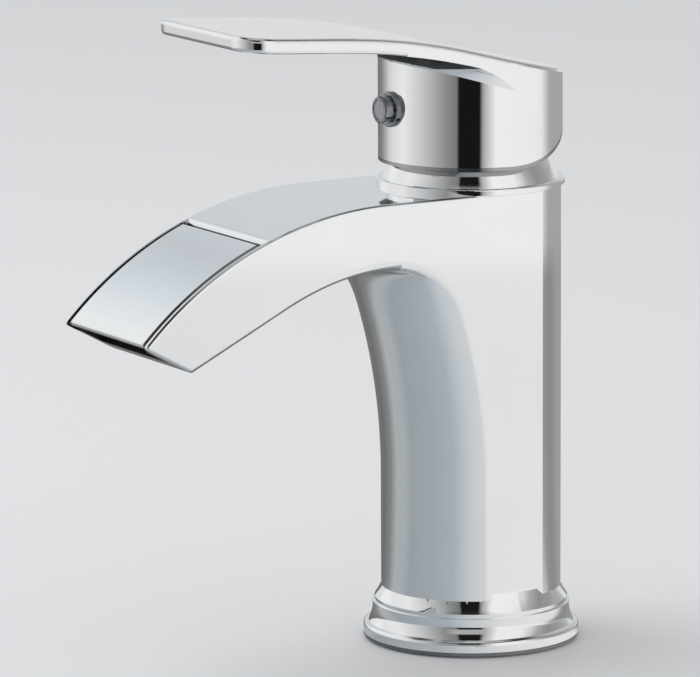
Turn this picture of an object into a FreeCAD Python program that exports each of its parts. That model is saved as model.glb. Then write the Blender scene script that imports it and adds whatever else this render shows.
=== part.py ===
import FreeCAD, Part
import math
import os

# Single lever basin mixer with a flat waterfall spout. Millimetres, +Z up, the
# spout and the lever point along -Y. The origin is the centre of the deck hole,
# on the top face of the deck.

V = FreeCAD.Vector
UP = V(0, 0, 1)
FORWARD = V(0, -1, 0)
SIDEWAYS = V(1, 0, 0)
ORIGIN = V(0, 0, 0)

# ---- driving dimensions: column and spout -------------------------------------
column_radius = 24.0
body_width = 44.8             # over the two flat sides
body_top_z = 123.0
foot_bottom_z = 10.0
foot_height = 6.0             # height of the flare over the foot's lower edge
foot_lip = 1.8                # how far the foot stands out from the column
foot_edge = 1.2               # straight edge under the flare

spout_reach = 110.5           # axis to the upper front edge of the spout
spout_flat = 38.0             # axis to where the top starts to curve down
spout_top_radius = 100.0
spout_end_back = 14.4         # the end face leans back by this much
spout_end_drop = 7.8          # and drops by this much
arch_top_z = 105.5            # highest line of the underside
arch_start_z = 45.0           # the column starts to flare here
arch_flare_radius = 153.0
arch_flare_angle = 18.0       # degrees turned by the long flare
arch_under_radius = 78.0
edge_round = 0.9              # rounding of the upper sides and of the end face
arch_edge_round = 2.5         # rounding of the sides below, round the arch

# ---- water way and front cover ------------------------------------------------
cover_back = 74.8             # axis to the cross seam, measured on the top
cover_thickness = 2.4
cover_seam = 0.9
cover_side_gap = 0.9
cover_setback = 0.9           # the cover ends this far behind the end face
cover_edge_round = 1.0
seam_round = 2.0              # rounded lip of the body behind the seam
rim_thickness = 1.3           # side rims of the body beside the cover
gasket_thickness = 0.6
gasket_clearance = 0.1
gasket_squeeze = 0.02
rear_ledge = 2.4              # ledge under the cover's back edge
channel_width = 35.0
channel_height = 6.8          # below the cover
channel_back = 46.0           # axis to the closed end of the wide channel
channel_roof = 4.4            # roof of the channel behind the seam
peg_diameter = 2.0
peg_length = 3.0
peg_clearance = 0.05
peg_shares = (0.2, 0.72)      # places of the pegs between the seam and the tip
duct_width = 16.0
duct_depth = 3.6
duct_wall = 3.2               # between the cartridge bore and the duct
duct_roof_z = 119.0
duct_sill_z = 112.6
spreader_length = 5.0
spreader_slots = 8
spreader_slot_width = 2.4
spreader_clearance = 0.1

# ---- body inside --------------------------------------------------------------
shell_radius = 20.0           # hollow in the foot of the column
shell_height = 60.0           # height of that hollow
bore_clearance = 0.15         # between cartridge and bore
cartridge_floor_z = 86.0
nut_thread_step = 1.85        # the nut's thread is wider than the bore by this much
nut_thread_depth = 7.6
port_edge = 6.2               # from the centre of a port to the edge of the fixed disc
inlet_y = -3.0
inlet_thread_radius = 4.6
inlet_thread_depth = 14.0
port_radius = 3.0
outlet_port_radius = 3.2
trench_depth = 3.6            # ring trench that leads the mixed water forward
trench_width = 4.25
key_radius = 1.9
key_clearance = 0.1
key_hole_depth = 3.0
key_spread = 17.0
key_y = 6.0
stud_y = 13.0
stud_radius = 4.0
stud_thread_clearance = 0.05
stud_boss_radius = 6.5
stud_boss_bottom_z = 18.0
stud_engagement = 16.0

# ---- base ring, seal and deck fixing ------------------------------------------
base_ring_radius = 28.75
base_ring_top_radius = 26.4
base_ring_shoulder_z = 4.6
base_ring_round = 1.3
base_ring_bore_radius = 20.6
seal_lift = 0.4               # the seal stands this much below the ring
seal_inner_radius = 22.0
seal_outer_radius = 26.6
seal_height = 2.2
seal_clearance = 0.1
deck_gap = 18.0               # thickness of deck between seal and rubber washer
washer_radius = 24.5
rubber_washer_thickness = 3.0
steel_washer_thickness = 1.6
hose_slot_width = 27.0
hose_slot_y = 5.6
stud_hole_clearance = 0.25
fixing_nut_height = 8.0
fixing_nut_flats = 13.0
stud_length = 78.0

# ---- cartridge ----------------------------------------------------------------
cartridge_radius = 17.5
floor_gap = 0.3               # between the bore's floor and the cartridge
base_height = 8.4
disc_edge = 3.7               # the fixed disc is smaller than the cartridge by this
disc_thickness = 4.0
disc_clearance = 0.1
disc_proud = 1.0              # the fixed disc stands this far over the base
moving_disc_edge = 2.8        # and the moving disc smaller than the fixed one
disc_running_gap = 0.02
disc_port_radius = 2.3
carrier_peg_radius = 1.2
seal_wire = 1.2               # wire of the seals under the base
side_seal_wire = 1.4          # wire of the seal round the base
side_seal_z = 89.6
disc_seal_wire = 0.9          # wire of the seals under the fixed disc
port_seal_radius = 4.1
housing_wall = 2.6
housing_shoulder_z = 117.4
neck_step = 4.1
neck_wall = 1.9
neck_top_z = 122.6
rotor_clearance = 0.3
rotor_floor_gap = 0.5         # between fixed disc and rotor
rotor_step_z = 112.0
swing_length = 15.0           # slot of the rotor that the spindle swings in
pivot_z = 118.0
pivot_pin_radius = 1.5
pin_clearance = 0.05
pin_length = 17.0
carrier_width = 15.0
carrier_length = 15.0
carrier_height = 8.6
carrier_plate = 1.8
carrier_clearance = 0.3
lever_arm = 10.5              # pivot pin to the ball in the carrier
ball_radius = 2.6
ball_clearance = 0.35
disc_travel = 4.6             # forward travel of the moving disc

# ---- spindle, nut and bonnet --------------------------------------------------
spindle_size = 7.2
spindle_arm_radius = 2.0
spindle_top_z = 146.0
nut_clearance = 0.06
nut_bore_clearance = 0.6
nut_flange_step = 0.9
nut_flange_height = 3.4
nut_hex_step = 4.9
nut_hex_height = 3.4
bonnet_lip_step = 0.6         # the lip stands this far out under the handle
bonnet_lip_height = 1.6
bonnet_nut_gap = 0.77         # the dome is centred on the pivot and clears the nut
bonnet_wall = 1.4
bonnet_opening_radius = 17.0
bonnet_bore_clearance = 0.9
bonnet_seal_wire = 1.5

# ---- handle -------------------------------------------------------------------
skirt_gap = 0.55              # between the dome and the handle's skirt
handle_wall = 2.4
handle_gap_z = 129.2          # lower edge of the skirt at the front
skirt_rise_start = 2.0        # the edge starts to rise this far before the axis
skirt_rise_radius = 37.0
handle_back_z = 152.4
handle_roof = 3.4
lever_reach = 82.0
lever_flare = 1.2             # the lever is this much wider at the tip, on each side
lever_tip_z = 169.9
lever_thickness = 4.0
lever_root_y = -20.0
lever_root_z = 162.9
lever_mid_y = -40.0
lever_mid_z = 166.4
lever_blade_y = -60.0
lever_blade_z = 168.1
lever_cap_z = 157.8           # top of the handle over its axis
lever_cove = 4.0
lever_edge_round = 1.2
lever_low_round = 1.0         # rounding of the blade's lower edges at the tip
lever_low_fade_y = -34.0      # where that rounding has faded away
lever_corner_round = 8.0
boss_radius = 7.0
boss_bottom_z = 135.6
socket_clearance = 0.05
screw_z = 144.1
screw_radius = 2.5
screw_length = 4.5
button_hole_radius = 3.1
button_rim_radius = 4.75
button_rim_height = 1.0
button_radius = 3.7
button_height = 3.8
button_round = 0.7
button_stem_length = 3.2
button_stem_clearance = 0.05
index_radius = 2.6
index_depth = 0.9

# ---- worked out from the sizes above ------------------------------------------
half_width = body_width / 2
cartridge_bore_radius = cartridge_radius + bore_clearance
nut_thread_radius = cartridge_bore_radius + nut_thread_step
nut_flange_radius = nut_thread_radius + nut_flange_step
nut_flange_top_z = body_top_z + nut_clearance + nut_flange_height
nut_hex_flats = 2 * (nut_flange_radius - nut_hex_step)
bonnet_bore_radius = nut_flange_radius + bonnet_bore_clearance
bonnet_inner_radius = math.hypot(nut_flange_radius + bonnet_nut_gap,
                                 nut_flange_top_z - pivot_z)
bonnet_dome_radius = bonnet_inner_radius + bonnet_wall
skirt_radius = skirt_gap + math.sqrt(bonnet_dome_radius ** 2 - (handle_gap_z - pivot_z) ** 2)
handle_radius = skirt_radius + handle_wall
bonnet_lip_radius = handle_radius + bonnet_lip_step
trench_radius = cartridge_bore_radius - trench_width
disc_radius = cartridge_radius - disc_edge
moving_disc_radius = disc_radius - moving_disc_edge
neck_radius = cartridge_radius - neck_step
nut_bore_radius = neck_radius + nut_bore_clearance
outlet_port_y = disc_radius - port_edge
flat_depth = math.sqrt(column_radius ** 2 - half_width ** 2)
spout_arc_centre = V(0, -spout_flat, body_top_z - spout_top_radius)
spout_tip_z = spout_arc_centre.z + math.sqrt(
    spout_top_radius ** 2 - (spout_reach - spout_flat) ** 2)
end_low_y = -(spout_reach - spout_end_back)
end_low_z = spout_tip_z - spout_end_drop
end_direction = V(0, spout_end_back, -spout_end_drop).normalize()
inlet_x = math.sqrt(outlet_port_y ** 2 - inlet_y ** 2)
inlet_xs = (-inlet_x, inlet_x)
key_xs = (-key_spread / 2, key_spread / 2)
cartridge_bottom_z = cartridge_floor_z + floor_gap
base_top_z = cartridge_bottom_z + base_height
disc_face_z = base_top_z + disc_proud
ball_z = pivot_z - lever_arm
cover_seat_radius = spout_top_radius - cover_thickness
ledge_radius = cover_seat_radius - gasket_thickness
channel_floor_radius = cover_seat_radius - channel_height
cover_half_width = half_width - rim_thickness - cover_side_gap
stud_top_z = stud_boss_bottom_z + stud_engagement
stud_bottom_z = stud_top_z - stud_length
seam_angle = math.degrees(math.asin((cover_back - spout_flat) / spout_top_radius))
spout_turn = math.degrees(math.asin((spout_reach - spout_flat) / spout_top_radius))
rear_ledge_angle = math.degrees(rear_ledge / spout_top_radius)
past_tip_angle = spout_turn + 5.5
trench_floor_z = cartridge_floor_z - trench_depth
disc_seat_z = disc_face_z - disc_thickness
side_seal_radius = cartridge_bore_radius - side_seal_wire / 2 - 0.02
carrier_peg_xs = (-(carrier_width / 2 + 1.6), carrier_width / 2 + 1.6)
rotor_radius = cartridge_radius - housing_wall - rotor_clearance
rotor_neck_radius = neck_radius - neck_wall - rotor_clearance
bonnet_seal_z = body_top_z + nut_clearance + nut_flange_height / 2


def yz_face(edges):
    return Part.Face(Part.Wire(edges))


def line(a, b):
    return Part.LineSegment(a, b).toShape()


def arc(a, b, c):
    return Part.Arc(a, b, c).toShape()


def yz(y, z):
    return V(0, y, z)


def extrude_across(face, half):
    """A face in the YZ plane made solid over -half..half in X."""
    solid = face.extrude(V(2 * half, 0, 0))
    solid.translate(V(-half, 0, 0))
    return solid


def tube(outer, inner, bottom, top):
    return (Part.makeCylinder(outer, top - bottom, V(0, 0, bottom))
            .cut(Part.makeCylinder(inner, top - bottom, V(0, 0, bottom))))


def post(radius, bottom, top, x=0.0, y=0.0):
    return Part.makeCylinder(radius, top - bottom, V(x, y, bottom))


def rod(radius, start, direction, length):
    return Part.makeCylinder(radius, length, start, direction)


def centred_box(width, depth, bottom, top, y=0.0):
    return Part.makeBox(width, depth, top - bottom, V(-width / 2, y - depth / 2, bottom))


def hexagon(flats, bottom, top, x=0.0, y=0.0):
    corner = flats / math.sqrt(3)
    turns = [math.radians(60 * k + 30) for k in range(7)]
    ring = [V(x + corner * math.cos(t), y + corner * math.sin(t), bottom) for t in turns]
    return Part.Face(Part.makePolygon(ring)).extrude(V(0, 0, top - bottom))


def wire_ring(radius, wire, z, x=0.0, y=0.0):
    """A round seal: its wire lies at this radius and height."""
    return Part.makeTorus(radius, wire / 2, V(x, y, z), UP)


def group(shapes):
    return Part.makeCompound(shapes)


# ---- outer shape of the body ---------------------------------------------------
def on_spout_arc(radius, angle):
    """A point at this radius and angle (degrees forward of straight up)."""
    turn = math.radians(angle)
    return spout_arc_centre + V(0, -radius * math.sin(turn), radius * math.cos(turn))


def spout_angle(y, radius):
    return math.degrees(math.asin((-y - spout_flat) / radius))


def arch_profile():
    """Stations (y, z, share) down the body's front and out along the underside.

    They lie in the plane of the flat side. The share says how much of the
    column's roundness is left: 1 on the column, 0 under the end of the spout.
    """
    step = 3.5
    flare_turn = math.radians(arch_flare_angle)
    flare_y = -flat_depth - arch_flare_radius * (1 - math.cos(flare_turn))
    flare_z = arch_start_z + arch_flare_radius * math.sin(flare_turn)
    bend_radius = (arch_top_z - flare_z) / (1 - math.sin(flare_turn))
    bend_y = flare_y - bend_radius * math.cos(flare_turn)
    bend_z = arch_top_z - bend_radius
    under_z = arch_top_z - arch_under_radius
    # the straight end of the underside is tangent to its round part
    to_tip_y = bend_y - end_low_y
    to_tip_z = end_low_z - under_z
    reach = math.hypot(to_tip_y, to_tip_z)
    slope = math.atan2(to_tip_y, to_tip_z) - math.acos(arch_under_radius / reach)

    straight = arch_start_z + foot_height
    bend_turn = math.pi / 2 - flare_turn
    tangent_length = math.sqrt(reach ** 2 - arch_under_radius ** 2)
    fade = bend_radius * bend_turn + arch_under_radius * slope
    stations = []

    def spaced(length):
        count = max(2, round(length / step))
        return [k / count for k in range(count)]

    for t in spaced(straight):
        stations.append((-flat_depth, arch_start_z - straight * (1 - t), 1.0))
    for t in spaced(arch_flare_radius * flare_turn):
        turn = flare_turn * t
        stations.append((-flat_depth - arch_flare_radius * (1 - math.cos(turn)),
                         arch_start_z + arch_flare_radius * math.sin(turn), 1.0))
    for t in spaced(bend_radius * bend_turn):
        turn = flare_turn + bend_turn * t
        gone = bend_radius * bend_turn * t / fade
        stations.append((bend_y + bend_radius * math.cos(turn),
                         bend_z + bend_radius * math.sin(turn), soft_step(1 - gone)))
    for t in spaced(arch_under_radius * slope):
        turn = slope * t
        gone = (bend_radius * bend_turn + arch_under_radius * turn) / fade
        stations.append((bend_y - arch_under_radius * math.sin(turn),
                         under_z + arch_under_radius * math.cos(turn), soft_step(1 - gone)))
    beyond = tangent_length + 20.0
    start_y = bend_y - arch_under_radius * math.sin(slope)
    start_z = under_z + arch_under_radius * math.cos(slope)
    for t in spaced(beyond) + [1.0]:
        stations.append((start_y - beyond * t * math.cos(slope),
                         start_z - beyond * t * math.sin(slope), 0.0))
    return stations


def soft_step(t):
    return t * t * (3 - 2 * t)


def arch_space():
    """The space in front of the column and under the spout."""
    margin = 0.8
    widest = math.asin((half_width + margin) / column_radius)
    across = 14
    rows = []
    for y, z, share in arch_profile():
        row = []
        for k in range(across + 1):
            turn = widest * (2 * k / across - 1)
            bulge = column_radius * math.cos(turn) - flat_depth
            row.append(V(column_radius * math.sin(turn), y - share * bulge, z))
        rows.append(row)
    surface = Part.BSplineSurface()
    surface.interpolate(rows)
    far = 1.5 * spout_reach
    return surface.toShape().extrude(V(0, -far, -far))


def spout_side_face():
    """Side view of the spout, down to the deck, before the arch is cut out."""
    tip = yz(-spout_reach, spout_tip_z)
    below = tip + end_direction * (1.4 * math.hypot(spout_end_back, spout_end_drop))
    middle = on_spout_arc(spout_top_radius, spout_angle(-spout_reach, spout_top_radius) / 2)
    return yz_face([
        line(yz(0, foot_bottom_z), yz(0, body_top_z)),
        line(yz(0, body_top_z), yz(-spout_flat, body_top_z)),
        arc(yz(-spout_flat, body_top_z), middle, tip),
        line(tip, below),
        line(below, yz(below.y, foot_bottom_z)),
        line(yz(below.y, foot_bottom_z), yz(0, foot_bottom_z)),
    ])


def foot_flare():
    """Round foot with a hollow flare that runs into the column."""
    low = foot_bottom_z + foot_edge
    high = foot_bottom_z + foot_height
    outer = column_radius + foot_lip
    inner = column_radius - 0.6
    hollow = arc(V(outer, 0, low), V(column_radius + 0.2 * foot_lip, 0, (low + high) / 2),
                 V(inner, 0, high))
    section = Part.Wire([
        line(V(shell_radius, 0, foot_bottom_z), V(outer, 0, foot_bottom_z)),
        line(V(outer, 0, foot_bottom_z), V(outer, 0, low)),
        hollow,
        line(V(inner, 0, high), V(shell_radius, 0, high)),
        line(V(shell_radius, 0, high), V(shell_radius, 0, foot_bottom_z)),
    ])
    return Part.Face(section).revolve(ORIGIN, UP, 360)


def is_on_side(edge):
    """True for edges of the flat sides, from the foot round the arch to the spout."""
    box = edge.BoundBox
    on_side = abs(abs(box.XMin) - half_width) < 0.01 and box.XLength < 0.01
    behind = box.YMin > -0.5
    on_bottom = box.ZMax < foot_bottom_z + 0.5
    at_axis = box.YMax > -0.01 and box.ZLength < 0.01 and box.YMin > -flat_depth
    return on_side and not behind and not on_bottom and not at_axis


def is_on_end(edge):
    """True for edges of the leaning end face of the spout."""
    tip = yz(-spout_reach, spout_tip_z)
    square_to_end = end_direction.cross(SIDEWAYS)
    return all(abs((p - tip).dot(square_to_end)) < 0.01 for p in edge.discretize(5))


def is_on_upper_side(edge):
    """True for edges along the top of the spout."""
    return all(p.z > body_top_z - 0.01 or
               abs((V(0, p.y, p.z) - spout_arc_centre).Length - spout_top_radius) < 0.01
               for p in edge.discretize(5))


def rounded(shape, radii_of):
    """The shape with its edges rounded: radii_of gives each edge's radii at its two ends."""
    drawing = FreeCAD.newDocument()
    base = drawing.addObject("Part::Feature")
    base.Shape = shape
    fillet = drawing.addObject("Part::Fillet")
    fillet.Base = base
    entries = [(number, *radii_of(edge)) for number, edge in enumerate(shape.Edges, 1)]
    fillet.Edges = [entry for entry in entries if entry[1] > 0]
    drawing.recompute()
    return fillet.Shape.copy()


def body_edge_radii(edge):
    if is_on_end(edge) or (is_on_side(edge) and is_on_upper_side(edge)):
        return edge_round, edge_round
    return (arch_edge_round, arch_edge_round) if is_on_side(edge) else (0, 0)


def body_outside():
    back_half = Part.makeCylinder(column_radius, body_top_z - foot_bottom_z,
                                  V(0, 0, foot_bottom_z), UP, 180)
    slab = Part.makeBox(body_width, column_radius + 1, body_top_z - foot_bottom_z,
                        V(-half_width, 0, foot_bottom_z))
    back = back_half.common(slab)
    front = extrude_across(spout_side_face(), half_width).cut(arch_space())
    whole = front.fuse(back).removeSplitter()
    return rounded(whole, body_edge_radii).fuse(foot_flare())


# ---- inside of the body ---------------------------------------------------------
def arc_band(inner, outer, start, end):
    """Side view of a band of the spout between two radii and two angles."""
    middle = (start + end) / 2
    return yz_face([
        arc(on_spout_arc(inner, start), on_spout_arc(inner, middle), on_spout_arc(inner, end)),
        line(on_spout_arc(inner, end), on_spout_arc(outer, end)),
        arc(on_spout_arc(outer, end), on_spout_arc(outer, middle), on_spout_arc(outer, start)),
        line(on_spout_arc(outer, start), on_spout_arc(inner, start)),
    ])


def cover_opening():
    """Space for the cover, open to the front, with a rounded lip at the seam."""
    start = seam_angle
    lip = math.degrees(seam_round / spout_top_radius)
    top = spout_top_radius + 2.0
    bend = on_spout_arc(spout_top_radius - 0.3 * seam_round, start - 0.3 * lip)
    face = yz_face([
        line(on_spout_arc(ledge_radius, start),
             on_spout_arc(spout_top_radius - seam_round, start)),
        arc(on_spout_arc(spout_top_radius - seam_round, start), bend,
            on_spout_arc(spout_top_radius, start - lip)),
        line(on_spout_arc(spout_top_radius, start - lip), on_spout_arc(top, start - lip)),
        arc(on_spout_arc(top, start - lip), on_spout_arc(top, (start + past_tip_angle) / 2),
            on_spout_arc(top, past_tip_angle)),
        line(on_spout_arc(top, past_tip_angle), on_spout_arc(ledge_radius, past_tip_angle)),
        arc(on_spout_arc(ledge_radius, past_tip_angle),
            on_spout_arc(ledge_radius, (start + past_tip_angle) / 2),
            on_spout_arc(ledge_radius, start)),
    ])
    return extrude_across(face, half_width - rim_thickness)


def peg(radius, angle, x, top, length):
    """A peg square to the spout's arc; its upper end is at this radius."""
    base = on_spout_arc(top, angle)
    base.x = x
    inward = (on_spout_arc(top - 1, angle) - on_spout_arc(top, angle))
    return Part.makeCylinder(radius, length, base, inward)


def cover_pegs(radius, top, length):
    x = (channel_width / 2 + cover_half_width) / 2
    angles = [seam_angle + share * (spout_turn - seam_angle) for share in peg_shares]
    return [peg(radius, angle, side * x, top, length) for angle in angles for side in (-1, 1)]


def water_way():
    """Duct up the front of the bore, wide channel and the outlet slot."""
    front = -(cartridge_bore_radius + duct_wall)
    duct = Part.makeBox(duct_width, duct_depth, duct_roof_z - trench_floor_z,
                        V(-duct_width / 2, front - duct_depth, trench_floor_z))
    window = Part.makeBox(duct_width, duct_wall + 3.0, trench_depth,
                          V(-duct_width / 2, front, trench_floor_z))
    passage = Part.makeBox(duct_width, channel_back + 2.0 + front, duct_roof_z - duct_sill_z,
                           V(-duct_width / 2, -channel_back - 2.0, duct_sill_z))
    covered = arc_band(channel_floor_radius, spout_top_radius - channel_roof,
                       spout_angle(-channel_back, spout_top_radius), seam_angle + 2.0)
    open_part = arc_band(channel_floor_radius, spout_top_radius,
                         seam_angle + rear_ledge_angle, past_tip_angle)
    half = channel_width / 2
    trench = tube(cartridge_bore_radius, trench_radius, trench_floor_z, cartridge_floor_z + 1)
    pocket = post(outlet_port_radius, trench_floor_z, cartridge_floor_z + 1, y=outlet_port_y)
    link = Part.makeBox(2 * outlet_port_radius, trench_radius + 1 - outlet_port_y,
                        trench_depth + 1, V(-outlet_port_radius, outlet_port_y, trench_floor_z))
    return [duct, window, passage, extrude_across(covered, half),
            extrude_across(open_part, half), trench, pocket, link]


def body():
    hollow = post(shell_radius, foot_bottom_z - 1, shell_height)
    boss = post(stud_boss_radius, stud_boss_bottom_z, shell_height + 1, y=stud_y)
    web = centred_box(2 * stud_boss_radius, shell_radius - stud_y, stud_boss_bottom_z,
                      shell_height + 1, y=(shell_radius + stud_y) / 2)
    cuts = [
        hollow.cut(boss.fuse(web)),
        post(cartridge_bore_radius, cartridge_floor_z, body_top_z + 1),
        post(nut_thread_radius, body_top_z - nut_thread_depth, body_top_z + 1),
        post(stud_radius + stud_thread_clearance, stud_boss_bottom_z - 1, stud_top_z + 1.5,
             y=stud_y),
    ]
    for x in inlet_xs:
        thread_end_z = shell_height + inlet_thread_depth
        cuts.append(post(inlet_thread_radius, shell_height - 1, thread_end_z, x, inlet_y))
        cuts.append(post(port_radius, thread_end_z - 1, cartridge_floor_z + 1, x, inlet_y))
    for x in key_xs:
        cuts.append(post(key_radius + key_clearance, cartridge_floor_z - key_hole_depth,
                         cartridge_floor_z + 1, x, key_y))
    cuts += water_way()
    cuts.append(cover_opening())
    cuts += cover_pegs(peg_diameter / 2 + peg_clearance, ledge_radius + 1,
                       peg_length + 1 - gasket_thickness + peg_clearance)
    return body_outside().cut(cuts).removeSplitter()


# ---- front cover ----------------------------------------------------------------
def spout_cover():
    start = seam_angle + math.degrees(cover_seam / spout_top_radius)
    plate = extrude_across(arc_band(cover_seat_radius, spout_top_radius, start,
                                    past_tip_angle), cover_half_width)
    # the front edge follows the leaning end face, a little behind it
    tip = yz(-spout_reach + cover_setback, spout_tip_z)
    high, low = tip - end_direction * spout_flat, tip + end_direction * spout_flat
    ahead = yz(-spout_reach, 0)
    trim = yz_face([line(high, low), line(low, low + ahead), line(low + ahead, high + ahead),
                    line(high + ahead, high)])
    plate = plate.cut(extrude_across(trim, half_width))
    on_top = [edge for edge in plate.Edges
              if all((V(0, p.y, p.z) - spout_arc_centre).Length > spout_top_radius - 0.05
                     for p in edge.discretize(5))]
    plate = plate.makeFillet(cover_edge_round, on_top)
    return plate.fuse(cover_pegs(peg_diameter / 2, cover_seat_radius + 1, peg_length + 1))


def cover_gasket():
    outer = half_width - rim_thickness - gasket_clearance
    inner = channel_width / 2 + gasket_clearance
    start = seam_angle + math.degrees(gasket_clearance / spout_top_radius)
    end = spout_angle(-spout_reach, spout_top_radius) - 4.0
    low = ledge_radius + gasket_squeeze
    high = cover_seat_radius - gasket_squeeze
    band = extrude_across(arc_band(low, high, start, end), outer)
    window = extrude_across(arc_band(ledge_radius - 1, cover_seat_radius + 1,
                                     seam_angle + rear_ledge_angle, end + 3), inner)
    holes = cover_pegs(peg_diameter / 2 + 2 * peg_clearance, cover_seat_radius + 1, 4.0)
    return band.cut([window] + holes)


def flow_spreader():
    gap = math.degrees(spreader_clearance / spout_top_radius)
    start = spout_angle(-channel_back, spout_top_radius) + 4.0 + gap
    end = start + math.degrees(spreader_length / channel_floor_radius)
    low = channel_floor_radius + spreader_clearance
    high = spout_top_radius - channel_roof - spreader_clearance
    comb = extrude_across(arc_band(low, high, start, end),
                          channel_width / 2 - spreader_clearance)
    rail = 0.8
    pitch = channel_width / spreader_slots
    slot_face = arc_band(low + rail, high - rail, start - 3, end + 3)
    slots = []
    for k in range(spreader_slots):
        slot = extrude_across(slot_face, spreader_slot_width / 2)
        slot.translate(V(pitch * (k + 0.5) - channel_width / 2, 0, 0))
        slots.append(slot)
    return comb.cut(slots)


# ---- base ring, seal and deck fixing --------------------------------------------
def base_ring():
    r = base_ring_radius
    shoulder = base_ring_shoulder_z
    top = foot_bottom_z
    rounding = base_ring_round
    section = Part.Face(Part.Wire([
        line(V(base_ring_bore_radius, 0, seal_lift), V(r - 0.6, 0, seal_lift)),
        line(V(r - 0.6, 0, seal_lift), V(r, 0, seal_lift + 0.6)),
        line(V(r, 0, seal_lift + 0.6), V(r, 0, shoulder - rounding)),
        arc(V(r, 0, shoulder - rounding), V(r - 0.29 * rounding, 0, shoulder - 0.29 * rounding),
            V(r - rounding, 0, shoulder)),
        arc(V(r - rounding, 0, shoulder),
            V((r - rounding + base_ring_top_radius) / 2 - 0.45, 0, (shoulder + top) / 2 - 0.3),
            V(base_ring_top_radius, 0, top)),
        line(V(base_ring_top_radius, 0, top), V(base_ring_bore_radius, 0, top)),
        line(V(base_ring_bore_radius, 0, top), V(base_ring_bore_radius, 0, seal_lift)),
    ]))
    groove = tube(seal_outer_radius + seal_clearance, seal_inner_radius - seal_clearance,
                  0, seal_height + seal_clearance)
    return section.revolve(ORIGIN, UP, 360).cut(groove)


def base_seal():
    return tube(seal_outer_radius, seal_inner_radius, 0, seal_height)


def mounting_stud():
    tip = 0.8
    shank = post(stud_radius, stud_bottom_z + tip, stud_top_z - tip, y=stud_y)
    low = Part.makeCone(stud_radius - tip, stud_radius, tip, V(0, stud_y, stud_bottom_z), UP)
    high = Part.makeCone(stud_radius, stud_radius - tip, tip, V(0, stud_y, stud_top_z - tip), UP)
    slot = centred_box(2 * stud_radius + 1, 1.2, stud_bottom_z - 1, stud_bottom_z + 1.8,
                       y=stud_y)
    return shank.fuse([low, high]).cut(slot)


def horseshoe(thickness, top):
    plate = post(washer_radius, top - thickness, top)
    hose_slot = Part.makeBox(hose_slot_width, washer_radius + hose_slot_y + 1, thickness + 2,
                             V(-hose_slot_width / 2, -washer_radius - 1, top - thickness - 1))
    stud_hole = post(stud_radius + stud_hole_clearance, top - thickness - 1, top + 1, y=stud_y)
    return plate.cut([hose_slot, stud_hole])


def rubber_washer():
    return horseshoe(rubber_washer_thickness, -deck_gap)


def steel_washer():
    return horseshoe(steel_washer_thickness, -deck_gap - rubber_washer_thickness)


def fixing_nut():
    top = -deck_gap - rubber_washer_thickness - steel_washer_thickness
    nut = hexagon(fixing_nut_flats, top - fixing_nut_height, top, y=stud_y)
    corner = fixing_nut_flats / math.sqrt(3)
    taper = Part.makeCone(fixing_nut_flats / 2 - 0.2, corner + fixing_nut_height - 0.6,
                          fixing_nut_height, V(0, stud_y, top - fixing_nut_height), UP)
    bore = post(stud_radius + stud_thread_clearance, top - fixing_nut_height - 1, top + 1,
                y=stud_y)
    return nut.common(taper).cut(bore)


# ---- cartridge --------------------------------------------------------------------
def cartridge_base():
    shape = post(cartridge_radius, cartridge_bottom_z, base_top_z)
    cuts = [
        post(disc_radius + disc_clearance, disc_seat_z, base_top_z + 1),
        post(outlet_port_radius, cartridge_bottom_z - 1, base_top_z, y=outlet_port_y),
    ]
    groove_low = cartridge_floor_z - 1
    groove_high = cartridge_floor_z + seal_wire + 0.1
    for x in inlet_xs:
        cuts.append(post(port_radius, cartridge_bottom_z - 1, base_top_z, x, inlet_y))
        groove = tube(port_seal_radius + seal_wire / 2 + 0.05,
                      port_seal_radius - seal_wire / 2 - 0.05, groove_low, groove_high)
        groove.translate(V(x, inlet_y, 0))
        cuts.append(groove)
    for x, y in disc_seal_places():
        groove = tube(port_seal_radius + disc_seal_wire / 2 + 0.05,
                      port_seal_radius - disc_seal_wire / 2 - 0.05,
                      disc_seat_z - disc_seal_wire - 0.05, disc_seat_z + 1)
        groove.translate(V(x, y, 0))
        cuts.append(groove)
    cuts.append(tube(cartridge_radius + 1, side_seal_radius - side_seal_wire / 2 - 0.05,
                     side_seal_z - side_seal_wire / 2 - 0.05,
                     side_seal_z + side_seal_wire / 2 + 0.05))
    pegs = [post(key_radius, cartridge_floor_z - key_hole_depth + 0.5, cartridge_bottom_z, x,
                 key_y) for x in key_xs]
    return shape.cut(cuts).fuse(pegs)


def disc_seal_places():
    return [(x, inlet_y) for x in inlet_xs] + [(0, outlet_port_y)]


def inlet_seals():
    return group([wire_ring(port_seal_radius, seal_wire,
                            cartridge_floor_z + seal_wire / 2 + 0.02, x, inlet_y)
                  for x in inlet_xs])


def side_seal():
    return wire_ring(side_seal_radius, side_seal_wire, side_seal_z)


def disc_seals():
    return group([wire_ring(port_seal_radius, disc_seal_wire,
                            disc_seat_z - disc_seal_wire / 2 - 0.02, x, y)
                  for x, y in disc_seal_places()])


def fixed_disc():
    disc = post(disc_radius, disc_seat_z, disc_face_z)
    holes = [post(disc_port_radius, disc_seat_z - 1, disc_face_z + 1, x, inlet_y)
             for x in inlet_xs]
    holes.append(post(outlet_port_radius - 0.3, disc_seat_z - 1, disc_face_z + 1,
                      y=outlet_port_y))
    return disc.cut(holes)


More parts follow.
